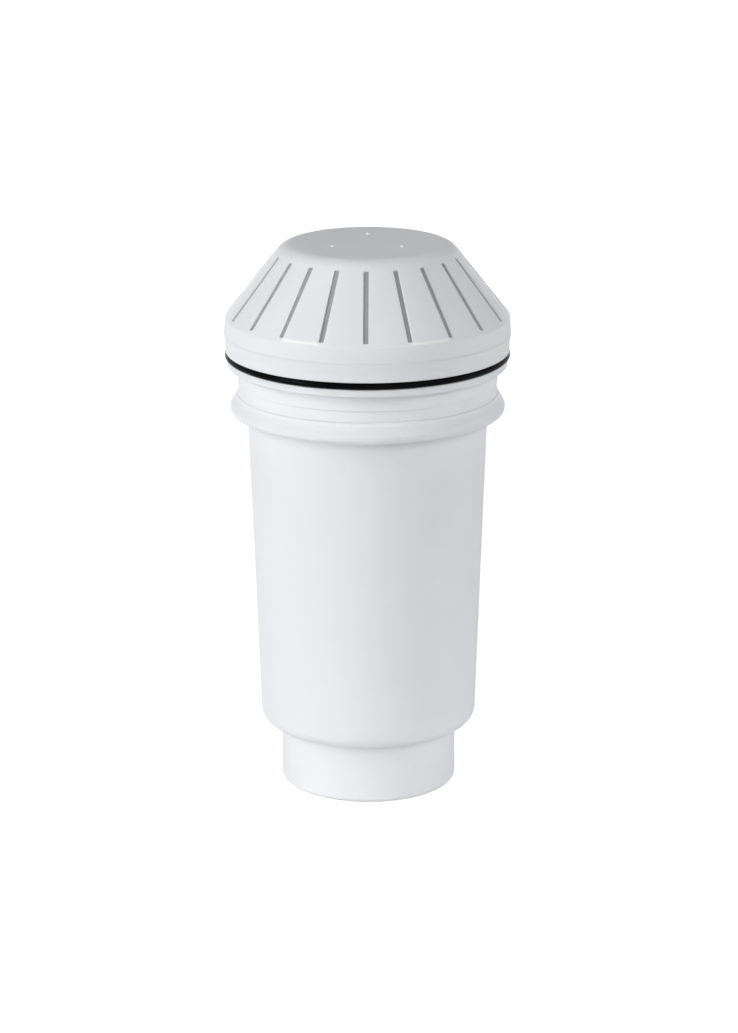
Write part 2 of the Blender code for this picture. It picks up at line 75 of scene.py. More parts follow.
# The neck, from its cove on the flange up to the lip
NECK_RADIUS = 31.67 * MM
NECK_FOOT_RADIUS = NECK_RADIUS + 0.28 * MM
NECK_BOTTOM = 100.05 * MM
NECK_COVE = 0.14 * MM
NECK_LOW_DRAFT = 0.45 * MM
NECK_STEP = 0.25 * MM
NECK_STEP_LEVEL = 102.8 * MM
NECK_DRAFT = 0.25 * MM

# The ring's groove, and the rim above it
LIP_BOTTOM = 106.8 * MM
LIP_RADIUS = 34.3 * MM
GROOVE_BOTTOM = 108.75 * MM
GROOVE_TOP = 110.55 * MM
GROOVE_FLOOR_RADIUS = 33.1 * MM
RIM_RADIUS = 34.9 * MM
RIM_WAIST = 0.12 * MM
RIM_FLARE = 0.28 * MM
RIM_FLARE_HEIGHT = 2.6 * MM
RIM_FLARE_ROUNDING = 6 * MM
RIM_TOP = 115.2 * MM
RIM_BORE = GROOVE_FLOOR_RADIUS - WALL
LEDGE = 108.0 * MM
RING_CORD_RADIUS = 0.8 * MM
RING_CENTRE_RADIUS = 34.2 * MM
RING_LEVEL = GROOVE_BOTTOM + 0.1 * MM + RING_CORD_RADIUS

# The cap
SEAM = 0.03 * MM
CAP_WALL = 1.6 * MM
CAP_BOTTOM = RIM_TOP + SEAM
CAP_BAND_RADIUS = 34.93 * MM
CAP_BAND_DRAFT = 0.17 * MM
CAP_BAND_TOP = 119.05 * MM
CAP_BAND_ROUNDING = 0.6 * MM
CAP_TOP = CAP_BAND_TOP + 18.1 * MM
CAP_DISC_RADIUS = 20.75 * MM
CAP_DISC_ROUNDING = 5.5 * MM
SPIGOT_RADIUS = RIM_BORE - SEAT_GAP
SPIGOT_BORE = SPIGOT_RADIUS - CAP_WALL
SPIGOT_END = 110.6 * MM

# Slots of the cap and of the foot's grille
SLOT_COUNT = 20
SLOT_HALF_WIDTH = 0.6 * MM
SLOT_EDGE = 0.08 * MM
SLOT_LOW_MARGIN = 1.2 * MM
SLOT_HIGH_MARGIN = 0.2 * MM
GRILLE_COUNT = 12
GRILLE_HALF_WIDTH = 0.9 * MM
GRILLE_EDGE = 0.12 * MM
GRILLE_START = 5.0 * MM
GRILLE_END = 17.5 * MM

# Raised panels of the cap, counted round from the front, and the moulding pips
RAISED_PANELS = (1, 8, 11, 18)
PANEL_HEIGHT = 0.28 * MM
PANEL_EDGE = 0.42 * MM
PANEL_BELOW_SLOT = 0.88 * MM
PIP_COUNT = 3
PIP_CIRCLE_RADIUS = 9.8 * MM
PIP_RADIUS = 0.55 * MM
PIP_HEIGHT = 0.5 * MM
PIP_FLAT_SHARE = 0.45

# The mesh lining behind the slots, with ribs that reach into them and fill them with the lining's
# painted shade
LINING_THICKNESS = 0.5 * MM
LINING_LAP = 0.5 * MM
LINING_RIB_DEPTH = 0.28 * MM
LINING_RIB_CLEARANCE = 0.04 * MM

# The cap's slope in (radius, height): its lower corner, its angle, and unit vectors up along it and
# into the wall. Distances up the slope start at that corner.
SLOPE_FOOT = np.array([CAP_BAND_RADIUS, CAP_BAND_TOP])
SLOPE_ANGLE = math.atan2(CAP_TOP - CAP_BAND_TOP, CAP_BAND_RADIUS - CAP_DISC_RADIUS)
SLOPE_LENGTH = math.hypot(CAP_TOP - CAP_BAND_TOP, CAP_BAND_RADIUS - CAP_DISC_RADIUS)
UP_SLOPE = np.array([-math.cos(SLOPE_ANGLE), math.sin(SLOPE_ANGLE)])
INTO_WALL = np.array([-math.sin(SLOPE_ANGLE), -math.cos(SLOPE_ANGLE)])
SLOPE_END = SLOPE_LENGTH - CAP_DISC_ROUNDING * math.tan(SLOPE_ANGLE / 2)
SLOT_START = SLOT_LOW_MARGIN - SLOT_EDGE
SLOT_END = SLOPE_END - SLOT_HIGH_MARGIN + SLOT_EDGE
PANEL_START = SLOT_LOW_MARGIN - PANEL_BELOW_SLOT

# Heights between which the plastic is painted lighter and then plain again: painted light low on the
# neck, and a painted highlight on the flange's shoulder
NECK_PAINTED_LIGHT_FROM, NECK_PAINTED_LIGHT_TO = (99.95 * MM, 100.55 * MM), (102.5 * MM, 106.5 * MM)
FLANGE_PAINTED_HIGHLIGHT_FROM, FLANGE_PAINTED_HIGHLIGHT_TO = (99.1 * MM, 99.3 * MM), (99.8 * MM, 99.95 * MM)

# Colours of the white plastic: two plain shades, then the painted light on the neck and the painted
# highlights on the flange and on the raised panels' lower edges
PLASTIC_SHADES = (0.842, 0.853, 0.885), (0.858, 0.867, 0.895)
NECK_PAINTED_LIGHT = (0.872, 0.884, 0.92)
FLANGE_PAINTED_HIGHLIGHT = (0.885, 0.895, 0.925)
PANEL_EDGE_PAINTED_HIGHLIGHT = (0.97, 0.975, 0.985)

# The studio: soft boxes stand at one distance from the cartridge's middle, and the floor glows
# from GLOW_LOW near the foot to plain white far out
LAMP_DISTANCE = 1.4
MIDDLE_HEIGHT = 0.07
FLOOR_REACH = 8.0
FLOOR_LEVEL = -0.02 * MM
FLOOR_PAINT = 0.85
GLOW_LOW = 0.72
GLOW_FROM, GLOW_TO = 0.2, 0.9

# Name, azimuth and elevation in degrees, width and height in metres, and watts
SOFT_BOXES = [
    ("left_low_panel", -60, 10, 0.45, 0.6, 7.78),
    ("left_high_panel", -65, 34, 0.5, 0.5, 4.78),
    ("front_low_panel", 10, 10, 0.45, 0.6, 1.45),
    ("front_top_panel", 0, 58, 0.5, 0.5, 0.65),
    ("right_high_panel", 60, 34, 0.5, 0.5, 3.34),
    ("right_low_panel", 90, 10, 0.45, 0.6, 3.56),
    ("back_strip", 180, -0.3, 1.2, 0.12, 3.5),
    ("top_panel", 0, 88, 0.8, 0.8, 2.35),
]

# Lamps with a grid, aimed low so that they light the table round the foot: name, azimuth and watts
TABLE_LAMPS = [
    ("left_table_grid", -65, 0.06),
    ("front_table_grid", 10, 0.11),
    ("right_table_grid", 40, 0.09),
]
TABLE_ELEVATION = 20
TABLE_LAMP_SIZE = 0.5
TABLE_AIM = -0.2
TABLE_SPREAD = 20

# Points closer than this are one point
WELD = 0.0005 * MM


def fillet(before, corner, after, spacing=0.12 * MM):
    """The rounding of one outline corner: centre + R (cos t, sin t), with t going from one tangent
    point to the other."""
    point = np.array(corner[:2])
    back = np.array(before[:2]) - point
    ahead = np.array(after[:2]) - point
    back_length, ahead_length = np.hypot(*back), np.hypot(*ahead)
    back, ahead = back / back_length, ahead / ahead_length
    half = math.acos(float(np.clip(back @ ahead, -1, 1))) / 2
    tangent = min(corner[2] / math.tan(half), 0.9 * back_length, 0.9 * ahead_length)
    radius = tangent * math.tan(half)
    middle = (back + ahead) / np.hypot(*(back + ahead))
    centre = point + middle * radius / math.sin(half)
    start, end = point + back * tangent - centre, point + ahead * tangent - centre
    first = math.atan2(start[1], start[0])
    turn = (math.atan2(end[1], end[0]) - first + math.pi) % (2 * math.pi) - math.pi
    steps = max(3, min(14, math.ceil(abs(turn) * radius / spacing)))
    angle = first + turn * np.linspace(0, 1, steps + 1)
    return centre + radius * np.stack([np.cos(angle), np.sin(angle)], axis=1)


def outline(corners):
    """The outline through corners of (radius, height, rounding), as an array of points."""
    rows = [np.array([corners[0][:2]])]
    for before, corner, after in zip(corners, corners[1:], corners[2:]):
        rows.append(fillet(before, corner, after) if corner[2] else np.array([corner[:2]]))
    rows.append(np.array([corners[-1][:2]]))
    return np.concatenate(rows)


def ellipse_arc(centre, radii, first, last, steps):
    """centre + (A cos t, B sin t), t in degrees from first to last."""
    angle = np.radians(np.linspace(first, last, steps + 1))
    return np.array(centre) + np.stack([radii[0] * np.cos(angle), radii[1] * np.sin(angle)], axis=1)


def held(points, reach=0.05 * MM, gentle=math.radians(40)):
    """The same line with a point just inside each end of a straight stretch that meets its
    neighbour at a gentle angle, so that the shading stays flat between the roundings."""
    ahead = np.diff(points, axis=0)
    length = np.hypot(ahead[:, 0], ahead[:, 1])
    heading = np.arctan2(ahead[:, 1], ahead[:, 0])
    turn = np.abs((np.diff(heading) + math.pi) % (2 * math.pi) - math.pi)
    soft = np.concatenate([[False], turn < gentle, [False]])
    rows = [points[:1]]
    for index in range(len(ahead)):
        start, end = points[index], points[index + 1]
        if length[index] > 5 * reach:
            step = ahead[index] / length[index] * reach
            if soft[index]:
                rows.append([start + step])
            if soft[index + 1]:
                rows.append([end - step])
        rows.append([end])
    return np.concatenate(rows)


def column_angles(radius, count, half_width, slot_cells, panel_cells):
    """The turn of each column at each radius. Across a slot the columns lie at equal distances x
    from its middle, a = asin(x / R), and across the panel up to the next slot at equal angles."""
    radius = np.asarray(radius)[:, None, None]
    pitch = 2 * math.pi / count
    offsets = np.linspace(-half_width, half_width, slot_cells + 1)[None, None, :]
    slot = np.arcsin(offsets / radius)
    edge = slot[..., -1:]
    share = (np.arange(1, panel_cells) / panel_cells)[None, None, :]
    sector = np.concatenate([slot, edge + share * (pitch - 2 * edge)], axis=-1)
    turns = pitch * np.arange(count)[None, :, None]
    return (sector + turns).reshape(radius.shape[0], -1)


def around_axis(radius, angle, height):
    """(R sin a, -R cos a, Z): the front is at a = 0, and a grows towards +X."""
    radius, angle, height = np.broadcast_arrays(radius, angle, height)
    return np.stack([radius * np.sin(angle), -radius * np.cos(angle), height], axis=-1)


def grid_faces(rows, columns, start=0, closed_rows=False, left_out=None):
    """Quads of a grid that closes on itself along its columns, numbered from start."""
    last = rows if closed_rows else rows - 1
    row, column = np.meshgrid(np.arange(last), np.arange(columns), indexing="ij")
    next_row, next_column = (row + 1) % rows, (column + 1) % columns
    quads = np.stack([
        row * columns + column,
        row * columns + next_column,
        next_row * columns + next_column,
        next_row * columns + column,
    ], axis=-1)
    if left_out is not None:
        quads = quads[~left_out]
    return quads.reshape(-1, 4) + start


def slot_openings(rows, columns, slot_cells, sector_cells, *spans):
    """Which cells of a grid its slots leave open: the first few of each sector, in the rows from
    the first of each span up to its last."""
    row, column = np.meshgrid(np.arange(rows), np.arange(columns), indexing="ij")
    within = np.zeros(row.shape, dtype=bool)
    for first, last in spans:
        within |= (row >= first) & (row < last)
    return within & (column % sector_cells < slot_cells)


def slot_rings(edge, wall, steps=4, wall_steps=3):
    """How far each ring round a slot lies out from its straight wall, and how deep: a quarter circle
    in from the outer face, the wall, and a quarter circle out to the inner face."""
    angle = np.linspace(0, math.pi / 2, steps + 1)
    deep = np.linspace(edge, wall - edge, wall_steps + 1)[1:-1]
    out = np.concatenate([edge * (1 - np.sin(angle)), 0 * deep, edge * (1 - np.cos(angle))])
    depth = np.concatenate([edge * (1 - np.cos(angle)), deep, wall - edge * (1 - np.sin(angle))])
    return out, depth


def slot_walls(start, along, inward, length, count, half_width, edge, wall, slot_cells, row_count):
    """The walls of every slot: a rectangle carried from the outer face to the inner one, widened at
    both by its rounded edges. start is where the widened slot begins in (radius, height), along
    and inward are unit vectors there, and a point x from the slot's middle turns by asin(x / R)."""
    out, depth = slot_rings(edge, wall)
    cells = np.linspace(-1, 1, slot_cells + 1)
    row_shares = np.linspace(0, 1, row_count)
    shares = np.concatenate([
        0 * cells[:-1], row_shares[:-1], 0 * cells[:-1] + 1, row_shares[:0:-1],
    ])
    sides = np.concatenate([
        cells[:-1], 0 * row_shares[:-1] + 1, cells[:0:-1], 0 * row_shares[:0:-1] - 1,
    ])
    offset = sides[None, :] * (half_width + out[:, None])
    run = (edge - out[:, None]) + shares[None, :] * (length - 2 * (edge - out[:, None]))
    radius = start[0] + run * along[0] + depth[:, None] * inward[0]
    height = start[1] + run * along[1] + depth[:, None] * inward[1]
    turns = 2 * math.pi / count * np.arange(count)[:, None, None]
    angle = np.arcsin(offset / radius) + turns
    return around_axis(radius, angle, height), (offset, run, depth, angle)


def with_walls(points, quads, walls):
    """The points and quads of a grid, followed by those of its slots' walls."""
    slots, rings, around = walls.shape[:3]
    starts = points.shape[0] * points.shape[1] + rings * around * np.arange(slots)
    wall_quads = [grid_faces(rings, around, start) for start in starts]
    all_points = np.concatenate([points.reshape(-1, 3), walls.reshape(-1, 3)])
    return all_points, np.concatenate([quads, *wall_quads])


def panel_rise(run):
    """How far a raised panel stands out at a distance up the slope: its height, times an even climb
    over the bevelled lower edge, times an even fall from there to nothing at the slots' ends."""
    climb = np.clip((run - PANEL_START) / PANEL_EDGE, 0, 1)
    fall = np.clip((SLOT_END - run) / (SLOT_END - PANEL_START), 0, 1)
    return PANEL_HEIGHT * climb * fall


def stand_out(rise, angle):
    """A rise square to the cap's slope, as a move in (x, y, z) at each turn round the axis."""
    return around_axis(-rise * INTO_WALL[0], angle, -rise * INTO_WALL[1])


def cap_surface():
    """The cap: one turned outline up the outside and down the inside, whose slope is cut by slots
    and carries four raised panels. The pips on its flat top are as high as a smooth step of the
    distance to their middles."""
    band_fillet = CAP_BAND_ROUNDING * math.tan((math.pi / 2 - SLOPE_ANGLE) / 2)
    low_runs = np.concatenate([
        [band_fillet, band_fillet + 0.05 * MM],
        PANEL_START + np.array([-0.05, 0, 0.03, 0.14, 0.28, 0.39]) * MM,
    ])
    slot_runs = np.linspace(SLOT_START, SLOT_END, 33)
    runs = np.concatenate([low_runs, slot_runs, [SLOPE_END]])
    slope = SLOPE_FOOT + runs[:, None] * UP_SLOPE
    below = held(outline([
        (SPIGOT_RADIUS, SPIGOT_END, 0),
        (SPIGOT_RADIUS, CAP_BOTTOM, 0),
        (CAP_BAND_RADIUS + CAP_BAND_DRAFT, CAP_BOTTOM, 0.015 * MM),
        (CAP_BAND_RADIUS, CAP_BAND_TOP, CAP_BAND_ROUNDING),
        (*(slope[0] + UP_SLOPE * MM), 0),
    ])[:-2])

    # Rows of the flat top lie closer together across the pips
    disc = outline([
        (*slope[-2], 0),
        (CAP_DISC_RADIUS, CAP_TOP, CAP_DISC_ROUNDING),
        (0, CAP_TOP, 0),
    ])[2:]
    flat_start = disc[-2][0]
    disc_radii = np.concatenate([
        [flat_start - 0.05 * MM],
        np.linspace(flat_start, PIP_CIRCLE_RADIUS + 0.8 * MM, 8)[1:],
        np.linspace(PIP_CIRCLE_RADIUS + 0.7 * MM, PIP_CIRCLE_RADIUS - 0.7 * MM, 15),
        np.linspace(PIP_CIRCLE_RADIUS - 0.8 * MM, 0, 8),
    ])
    disc = np.concatenate([disc[:-1], np.stack([disc_radii, 0 * disc_radii + CAP_TOP], axis=1)])

    inner_runs = np.concatenate([[SLOPE_END], slot_runs[::-1]])
    inner_slope = SLOPE_FOOT + inner_runs[:, None] * UP_SLOPE + CAP_WALL * INTO_WALL
    inner_disc_radius = CAP_DISC_RADIUS - CAP_WALL * math.tan(SLOPE_ANGLE / 2)
    inner_disc = outline([
        (0, CAP_TOP - CAP_WALL, 0),
        (inner_disc_radius, CAP_TOP - CAP_WALL, CAP_DISC_ROUNDING - CAP_WALL),
        (*inner_slope[1], 0),
    ])[:-2]
    inner_band = CAP_BAND_RADIUS - CAP_WALL
    inner_corner_level = CAP_BAND_TOP - CAP_WALL * math.tan((math.pi / 2 - SLOPE_ANGLE) / 2)
    inner_low = np.array([
        (inner_band, inner_corner_level),
        (inner_band, CAP_BOTTOM + CAP_WALL),
        (SPIGOT_BORE, CAP_BOTTOM + CAP_WALL),
        (SPIGOT_BORE, SPIGOT_END),
    ])
    rows = np.concatenate([below, slope, disc, inner_disc, inner_slope, inner_low])

    # Where the parts of the outline start, and the first and last rows of the slots on both faces
    slope_first = len(below)
    disc_first = slope_first + len(slope)
    inside_first = disc_first + len(disc)
    slot_first = slope_first + len(low_runs)
    slot_last = slot_first + len(slot_runs) - 1
    inner_first = inside_first + len(inner_disc) + 1
    inner_last = inner_first + len(slot_runs) - 1

    slot_cells, panel_cells = 4, 9
    sector_cells = slot_cells + panel_cells
    columns = SLOT_COUNT * sector_cells
    angle_radius = np.concatenate([
        np.clip(rows[:inside_first, 0], rows[slot_last, 0], rows[slot_first, 0]),
        np.clip(rows[inside_first:, 0], rows[inner_first, 0], rows[inner_last, 0]),
    ])
    half = SLOT_HALF_WIDTH + SLOT_EDGE
    angle = column_angles(angle_radius, SLOT_COUNT, half, slot_cells, panel_cells)
    points = around_axis(rows[:, 0:1], angle, rows[:, 1:2])

    sector, cell = np.divmod(np.arange(columns), sector_cells)
    after = np.isin(sector, RAISED_PANELS)
    before = np.isin((sector - 1) % SLOT_COUNT, RAISED_PANELS)
    lifted = (after & (cell >= slot_cells)) | (before & (cell == 0))
    rise = panel_rise(runs)[:, None] * lifted
    points[slope_first:disc_first] += stand_out(rise, angle[slope_first:disc_first])

    pip_turns = math.pi + 2 * math.pi / PIP_COUNT * np.arange(PIP_COUNT)
    pips = around_axis(PIP_CIRCLE_RADIUS, pip_turns, CAP_TOP)
    top = points[disc_first:inside_first]
    away = np.linalg.norm(top[..., None, :2] - pips[:, :2], axis=-1).min(axis=-1)
    fall = np.clip((away / PIP_RADIUS - PIP_FLAT_SHARE) / (1 - PIP_FLAT_SHARE), 0, 1)
    top[..., 2] += PIP_HEIGHT * (1 - fall * fall * (3 - 2 * fall))

    left_out = slot_openings(
        len(rows), columns, slot_cells, sector_cells,
        (slot_first, slot_last), (inner_first, inner_last),
    )
    quads = grid_faces(len(rows), columns, closed_rows=True, left_out=left_out)

    # A slot's side wall follows the raised panel beside it, less and less down to the inner face
    walls, (offset, run, depth, wall_angle) = slot_walls(
        SLOPE_FOOT + SLOT_START * UP_SLOPE, UP_SLOPE, INTO_WALL, SLOT_END - SLOT_START,
        SLOT_COUNT, SLOT_HALF_WIDTH, SLOT_EDGE, CAP_WALL, slot_cells, len(slot_runs),
    )
    slots = np.arange(SLOT_COUNT)[:, None, None]
    side = np.isclose(np.abs(offset), np.abs(offset).max(axis=1, keepdims=True), atol=1e-9)
    beside = np.where(
        offset > 0,
        np.isin(slots, RAISED_PANELS),
        np.isin((slots - 1) % SLOT_COUNT, RAISED_PANELS),
    )
    fade = np.clip((CAP_WALL - depth[:, None]) / (CAP_WALL - SLOT_EDGE), 0, 1)
    rise = panel_rise(SLOT_START + run) * fade * (side & beside)
    return with_walls(points, quads, walls + stand_out(rise, wall_angle))


def mark_panel_edge_highlights(cap):
    """Gives the cap's mesh an attribute that is 1 on the bevelled lower edges of its raised panels
    and 0 elsewhere; the white plastic gets a painted highlight there. A point is on a bevel when it
    stands proud of the plain slope and its distance up the slope is less than the bevel's end."""
    points = np.empty(3 * len(cap.data.vertices), dtype=np.float32)
    cap.data.vertices.foreach_get("co", points)
    x, y, z = points.reshape(-1, 3).T
    outward, up = np.hypot(x, y) - CAP_BAND_RADIUS, z - CAP_BAND_TOP
    proud = outward * math.sin(SLOPE_ANGLE) + up * math.cos(SLOPE_ANGLE)
    run = up * math.sin(SLOPE_ANGLE) - outward * math.cos(SLOPE_ANGLE)
    mark = (proud > 0.01 * MM) & (run > PANEL_START) & (run < PANEL_START + 0.95 * PANEL_EDGE)
    attribute = cap.data.attributes.new("panel_edge_highlight", "FLOAT", "POINT")
    attribute.data.foreach_set("value", mark.astype(np.float32))


def lining_surface():
    """The cap's mesh lining: a cone that runs just inside the wall, closed by its inner face, with a
    rib for each slot. A rib point lies x from the slot's middle and turns by asin(x / R)."""
    slot_end = SLOPE_END - SLOT_HIGH_MARGIN
    margin = 2 * LINING_RIB_CLEARANCE
    rib_runs = np.linspace(SLOT_LOW_MARGIN + margin, slot_end - margin, 12)
    low_end, high_end = SLOT_LOW_MARGIN - LINING_LAP, slot_end + LINING_LAP
    outer = np.concatenate([[low_end, rib_runs[0]], rib_runs, [rib_runs[-1], high_end]])
    in_rib = np.concatenate([[0, 0], np.ones(len(rib_runs)), [0, 0]])
    runs = np.concatenate([outer, outer[::-1]])[:, None]
    lifted_rows = np.concatenate([in_rib, 0 * in_rib])[:, None]
    depth = np.concatenate([0 * outer, 0 * outer + LINING_THICKNESS]) + CAP_WALL + SEAT_GAP

    half = SLOT_HALF_WIDTH - LINING_RIB_CLEARANCE
    rib_offsets = [-half, -half, 0, half, half]
    gap_cells = 8
    lifted_columns = np.concatenate([[0, 1, 1, 1, 0], np.zeros(gap_cells - 1)])
    lift = lifted_rows * lifted_columns * (CAP_WALL + SEAT_GAP - LINING_RIB_DEPTH)
    depth = depth[:, None] - np.tile(lift, SLOT_COUNT)
    radius = CAP_BAND_RADIUS + runs * UP_SLOPE[0] + depth * INTO_WALL[0]
    height = CAP_BAND_TOP + runs * UP_SLOPE[1] + depth * INTO_WALL[1]

    pitch = 2 * math.pi / SLOT_COUNT
    edge = math.asin(half / (CAP_BAND_RADIUS - SLOT_LOW_MARGIN))
    between = edge + np.arange(1, gap_cells) / gap_cells * (pitch - 2 * edge)
    sector = np.concatenate([rib_offsets, between])
    is_rib = np.tile(np.arange(len(sector)) < len(rib_offsets), SLOT_COUNT)
    turns = np.repeat(pitch * np.arange(SLOT_COUNT), len(sector))
    sector = np.tile(sector, SLOT_COUNT)
    angle = np.where(is_rib, np.arcsin(np.where(is_rib, sector, 0) / radius), sector) + turns
    points = around_axis(radius, angle, height)
    return points.reshape(-1, 3), grid_faces(len(runs), points.shape[1], closed_rows=True)


def housing_surface():
    """The housing: one turned outline up the outside and down the inside, with the foot's floor cut
    by radial slots."""
    flange_middle = FLANGE_RADIUS - FLANGE_EDGE_WIDTH
    lower = outline([
        (FOOT_RECESS_RADIUS, 0, FINE_ROUNDING),
        (FOOT_RADIUS, 0, FOOT_ROUNDING),
        (FOOT_RADIUS, FOOT_HEIGHT, 0.2 * MM),
        (BODY_LOW_RADIUS, BODY_LOW_LEVEL, SHOULDER_ROUNDING),
        (BODY_TOP_RADIUS, FLANGE_UNDERSIDE, 0.25 * MM),
        (flange_middle, FLANGE_UNDERSIDE, 0),
    ])
    edge_radii = (FLANGE_EDGE_WIDTH, FLANGE_EDGE - FLANGE_UNDERSIDE)
    flange_edge = ellipse_arc((flange_middle, FLANGE_EDGE), edge_radii, -90, 0, 14)
    cove_radius = NECK_FOOT_RADIUS - NECK_COVE
    step_radius = NECK_RADIUS + NECK_STEP
    waist_radius = RIM_RADIUS - RIM_WAIST
    upper = outline([
        (FLANGE_RADIUS, FLANGE_EDGE, 0),
        (FLANGE_RADIUS, FLANGE_EDGE + 0.3 * MM, 0.6 * MM),
        (FLANGE_CREASE_RADIUS + 0.05 * MM, FLANGE_CREASE_LEVEL, 0.1 * MM),
        (FLANGE_CREASE_RADIUS - 0.03 * MM, FLANGE_CREASE_LEVEL + 0.03 * MM, 0),
        (NECK_FOOT_RADIUS + 0.2 * MM, NECK_BOTTOM - 0.1 * MM, FLANGE_SHOULDER),
        (cove_radius, NECK_BOTTOM, 0),
        (cove_radius, NECK_BOTTOM + 0.03 * MM, 0),
        (NECK_FOOT_RADIUS, NECK_BOTTOM + 0.1 * MM, 0.1 * MM),
        (NECK_FOOT_RADIUS - NECK_LOW_DRAFT, NECK_STEP_LEVEL, 0),
        (step_radius, NECK_STEP_LEVEL + 0.06 * MM, 0.16 * MM),
        (step_radius - NECK_DRAFT, LIP_BOTTOM, 0.3 * MM),
        (LIP_RADIUS, LIP_BOTTOM, 0.5 * MM),
        (LIP_RADIUS, GROOVE_BOTTOM, FINE_ROUNDING),
        (GROOVE_FLOOR_RADIUS, GROOVE_BOTTOM, 0),
        (GROOVE_FLOOR_RADIUS, GROOVE_TOP, 0),
        (waist_radius, GROOVE_TOP, FINE_ROUNDING),
        (waist_radius, RIM_TOP - RIM_FLARE_HEIGHT, RIM_FLARE_ROUNDING),
        (RIM_RADIUS + RIM_FLARE, RIM_TOP - 0.3 * MM, 0.25 * MM),
        (CAP_BAND_RADIUS + CAP_BAND_DRAFT + 0.02 * MM, RIM_TOP, 0.01 * MM),
        (RIM_BORE, RIM_TOP, 0),
        (RIM_BORE, LEDGE, 0),
        (NECK_RADIUS - WALL, LEDGE, 0),
        (NECK_RADIUS - WALL, FLANGE_EDGE + WALL, 0),
        (BODY_TOP_RADIUS - WALL, FLANGE_UNDERSIDE - WALL, 0),
        (BODY_LOW_RADIUS - WALL, SHOULDER_TOP, 1.0 * MM),
        (FOOT_RADIUS - WALL, SHOULDER_TOP, 0),
        (FOOT_RADIUS - WALL, FLOOR_TOP, 0),
        (GRILLE_END + 1.0 * MM, FLOOR_TOP, 0),
    ])[1:]

    slot_start, slot_end = GRILLE_START - GRILLE_EDGE, GRILLE_END + GRILLE_EDGE
    slot_rows = 16
    centre_radii = [0, 2 * MM, 4 * MM]
    radii = np.concatenate([centre_radii, np.linspace(slot_start, slot_end, slot_rows)])
    top_floor = np.stack([radii[::-1], 0 * radii + FLOOR_TOP], axis=1)
    under_floor = np.stack([radii, 0 * radii + FOOT_RECESS], axis=1)
    recess = np.array([(FOOT_RECESS_RADIUS, FOOT_RECESS)])
    sides = held(np.concatenate([lower, flange_edge[1:], upper]))
    rows = np.concatenate([sides, top_floor, under_floor, recess])

    slot_cells, panel_cells = 4, 20
    sector_cells = slot_cells + panel_cells
    columns = GRILLE_COUNT * sector_cells
    half = GRILLE_HALF_WIDTH + GRILLE_EDGE
    angle_radius = np.clip(rows[:, 0], slot_start, slot_end)
    angle = column_angles(angle_radius, GRILLE_COUNT, half, slot_cells, panel_cells)
    even = np.linspace(0, 2 * math.pi, columns, endpoint=False) - math.pi / columns * slot_cells
    angle[:len(sides)][sides[:, 1] > EVEN_COLUMNS_FROM] = even
    points = around_axis(rows[:, 0:1], angle, rows[:, 1:2])

    top_first = len(sides)
    under_first = top_first + len(top_floor) + len(centre_radii)
    left_out = slot_openings(
        len(rows), columns, slot_cells, sector_cells,
        (top_first, top_first + slot_rows - 1), (under_first, under_first + slot_rows - 1),
    )
    quads = grid_faces(len(rows), columns, closed_rows=True, left_out=left_out)
    walls, _ = slot_walls(
        (slot_start, FOOT_RECESS), (1, 0), (0, 1), GRILLE_END - GRILLE_START + 2 * GRILLE_EDGE,
        GRILLE_COUNT, GRILLE_HALF_WIDTH, GRILLE_EDGE, FOOT_FLOOR, slot_cells, slot_rows,
    )
    return with_walls(points, quads, walls)


def ring_surface(around=288, section=28):
    """The sealing ring: a circle of the cord's radius carried round the axis."""
    turn = np.linspace(0, 2 * math.pi, around, endpoint=False)[None, :]
    roll = np.linspace(0, 2 * math.pi, section, endpoint=False)[:, None]
    radius = RING_CENTRE_RADIUS + RING_CORD_RADIUS * np.cos(roll)
    height = RING_LEVEL + RING_CORD_RADIUS * np.sin(roll)
    points = around_axis(radius, turn, height)
    return points.reshape(-1, 3), grid_faces(section, around, closed_rows=True)


def add_piece(name, surface, material, nodes, sharp_degrees=38):
    """Adds a piece from a surface's points and quads. Unused points are dropped, the rest welded,
    and quads with a doubled corner turned into triangles."""
    points, quads = surface
    used, index = np.unique(quads, return_inverse=True)
    points, quads = points[used], index.reshape(quads.shape)
    key = np.round(points / WELD).astype(np.int64)
    _, first, index = np.unique(key, axis=0, return_index=True, return_inverse=True)
    points, quads = points[first], index.reshape(-1)[quads]
    doubled = quads == np.roll(quads, -1, axis=1)
    count = doubled.sum(axis=1)
    triangles = quads[count == 1][~doubled[count == 1]].reshape(-1, 3)
    mesh = bpy.data.meshes.new(name)
    mesh.from_pydata(points.tolist(), [], quads[count == 0].tolist() + triangles.tolist())
    mesh.materials.append(material)
    mesh.validate()
    mesh.shade_smooth()
    mesh.set_sharp_from_angle(angle=math.radians(sharp_degrees))
    piece = bpy.data.objects.new(name, mesh)
    bpy.context.scene.collection.objects.link(piece)
    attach(piece, "root")
    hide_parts(*nodes)
    return piece


def start_material(name, colour, roughness):
    """A material and its Principled shader."""
    material = bpy.data.materials.new(name)
    material.use_nodes = True
    shader = material.node_tree.nodes["Principled BSDF"]
    shader.inputs["Base Color"].default_value = (*colour, 1.0)
    shader.inputs["Roughness"].default_value = roughness
    return material, shader


def add_node(owner, kind, **values):
    """A node of a material or world, with its sockets set by name, where an underscore stands for a
    space, and other names taken as the node's own settings."""
    node = owner.node_tree.nodes.new(kind)
    for name, value in values.items():
        socket = node.inputs.get(name.replace("_", " "))
        if socket is not None:
            socket.default_value = value
        else:
            setattr(node, name, value)
    return node


def join(owner, source, output, target, socket):
    """Links an output to a socket. Either is given by its name or its place in the list."""
    owner.node_tree.links.new(source.outputs[output], target.inputs[socket])


def on_object(owner, kind, **values):
    """A node that reads Object coordinates."""
    place = add_node(owner, "ShaderNodeTexCoord")
    node = add_node(owner, kind, **values)
    join(owner, place, "Object", node, "Vector")
    return node


def noise(material, scale, detail, roughness=0.5):
    """Noise in Object coordinates."""
    return on_object(
        material, "ShaderNodeTexNoise", Scale=scale, Detail=detail, Roughness=roughness)


